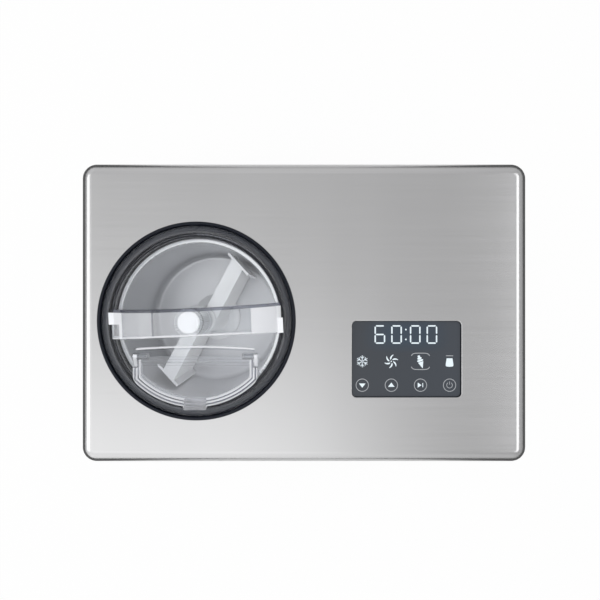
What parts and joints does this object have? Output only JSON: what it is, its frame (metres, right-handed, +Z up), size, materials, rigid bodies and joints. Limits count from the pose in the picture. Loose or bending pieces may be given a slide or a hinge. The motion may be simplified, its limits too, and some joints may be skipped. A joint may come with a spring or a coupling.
{
  "type": "ice cream maker",
  "caption": "Countertop compressor ice cream maker: a brushed steel box with a lift-out bowl and paddle under a clear twist-lock lid with a refill flap, beside a glass touch panel.",
  "frame": {"origin": "on the surface the feet stand on, under the middle of the casing", "axes": "+X to the user's right along the long side, +Y to the back, +Z up"},
  "size_m": [0.425, 0.2876, 0.262],
  "materials": {
    "steel": "brushed",
    "bowl_metal": "satin",
    "well_metal": "satin",
    "fastener": "zinc plated",
    "black_plastic": "fine texture",
    "grey_plastic": "fine texture",
    "rubber": "matt",
    "clear_plastic": "clear polished",
    "white_plastic": "satin",
    "seal_rubber": "soft satin",
    "shaft_steel": "ground",
    "nylon": "moulded",
    "iron": "laminated",
    "bronze": "sintered",
    "zinc": "die cast",
    "black_paint": "semi gloss",
    "copper": "drawn",
    "fin_metal": "mill",
    "foam": "closed-cell foam",
    "panel_glass": "back printed",
    "circuit_board": "solder mask",
    "display": "smoked"
  },
  "bodies": {
    "casing": {"top_panel": "steel", "side_wrap": "steel", "rear_cover": "steel", "rear_cover_screws": "fastener", "upper_frame": "grey_plastic", "base_tray": "grey_plastic", "foot_screws": "fastener", "cord_gland": "black_plastic", "foot_front_left": "rubber", "foot_front_right": "rubber", "foot_rear_left": "rubber", "foot_rear_right": "rubber", "collar": "black_plastic", "cooling_well": "well_metal", "well_screws": "fastener", "shaft_seal": "rubber", "evaporator_coil": "copper", "well_insulation": "foam", "idler_pin": "shaft_steel", "motor_stator": "iron", "motor_end_plate": "zinc", "gearbox_case": "zinc", "gearbox_cover": "zinc", "shaft_bushes": "bronze", "gearbox_screws": "fastener", "compressor_base": "black_paint", "compressor_mounts": "rubber", "compressor_bolts": "fastener", "compressor_lower_shell": "black_paint", "compressor_upper_shell": "black_paint", "compressor_pump": "iron", "compressor_terminal_cover": "black_plastic", "condenser_tube": "copper", "condenser_fins": "fin_metal", "fan_frame": "black_plastic", "fan_motor": "zinc", "filter_drier": "copper", "discharge_pipe": "copper", "capillary_tube": "copper", "suction_pipe": "copper", "control_glass": "panel_glass", "control_holder": "grey_plastic", "control_board": "circuit_board", "display_module": "display", "board_screws": "fastener", "power_board": "circuit_board"},
    "drive_output": {"drive_shaft": "shaft_steel", "output_gear": "nylon"},
    "idler": {"idler_gear": "nylon"},
    "rotor": {"motor_rotor": "iron", "rotor_shaft": "shaft_steel"},
    "bowl": {"ice_bowl": "bowl_metal"},
    "paddle": {"paddle": "white_plastic"},
    "seal": {"lid_seal": "seal_rubber"},
    "lid": {"lid": "clear_plastic", "lid_handle": "clear_plastic", "paddle_bearing": "white_plastic", "flap_pins": "shaft_steel"},
    "flap": {"refill_flap": "clear_plastic"},
    "fan": {"fan_rotor": "black_plastic"}
  },
  "joints": [
    {"name": "shaft_spin", "type": "hinge", "parent": "casing", "child": "drive_output", "pos_m": [-0.102, -0.0076, 0.05], "axis": [0, 0, 1], "continuous": true},
    {"name": "idler_spin", "type": "hinge", "parent": "casing", "child": "idler", "pos_m": [-0.0645, -0.0076, 0.05], "axis": [0, 0, 1], "continuous": true},
    {"name": "rotor_spin", "type": "hinge", "parent": "casing", "child": "rotor", "pos_m": [-0.0345, -0.0076, 0.03], "axis": [0, 0, 1], "continuous": true},
    {"name": "bowl_lift", "type": "slide", "parent": "casing", "child": "bowl", "axis": [0, 0, 1], "range_m": [0, 0.16]},
    {"name": "paddle_spin", "type": "hinge", "parent": "bowl", "child": "paddle", "pos_m": [-0.102, -0.0076, 0.15], "axis": [0, 0, 1], "continuous": true},
    {"name": "lid_lift", "type": "slide", "parent": "bowl", "child": "seal", "axis": [0, 0, 1], "range_m": [0, 0.12]},
    {"name": "lid_twist", "type": "hinge", "parent": "seal", "child": "lid", "pos_m": [-0.102, -0.0076, 0.22], "axis": [0, 0, 1], "range_deg": [-18, 0]},
    {"name": "flap_open", "type": "hinge", "parent": "lid", "child": "flap", "pos_m": [-0.102, -0.0406, 0.2264], "axis": [-1, 0, 0], "range_deg": [0, 100]},
    {"name": "fan_spin", "type": "hinge", "parent": "casing", "child": "fan", "pos_m": [0.196, 0.006, 0.084], "axis": [1, 0, 0], "continuous": true}
  ],
  "couplings": [
    {"joint": "idler_spin", "follows": "shaft_spin", "ratio": -4},
    {"joint": "rotor_spin", "follows": "shaft_spin", "ratio": 16},
    {"joint": "paddle_spin", "follows": "shaft_spin", "ratio": 1}
  ]
}
